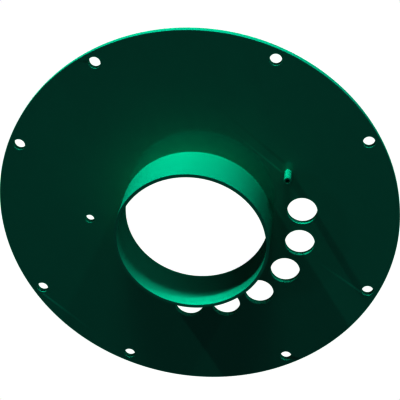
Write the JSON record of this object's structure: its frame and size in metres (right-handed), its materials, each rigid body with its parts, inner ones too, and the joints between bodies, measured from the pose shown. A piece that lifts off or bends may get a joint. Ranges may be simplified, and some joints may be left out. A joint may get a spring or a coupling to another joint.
{
  "type": "pipe outlet adapter",
  "caption": "Round flat flange with a short thin-walled hose spigot, screw holes round the rim, an arc of large through holes and a small tapping tube.",
  "frame": {"origin": "centre of the flange's back face, where the spigot's axis meets it", "axes": "+Z along the spigot's axis towards its free end, X and Y along the oblongs of the rim's screw holes, with +X through the small hole"},
  "size_m": [0.2, 0.2, 0.0258],
  "materials": {
    "green_plastic": "satin moulded or printed plastic"
  },
  "bodies": {
    "root": {"adapter": "green_plastic"}
  },
  "joints": []
}
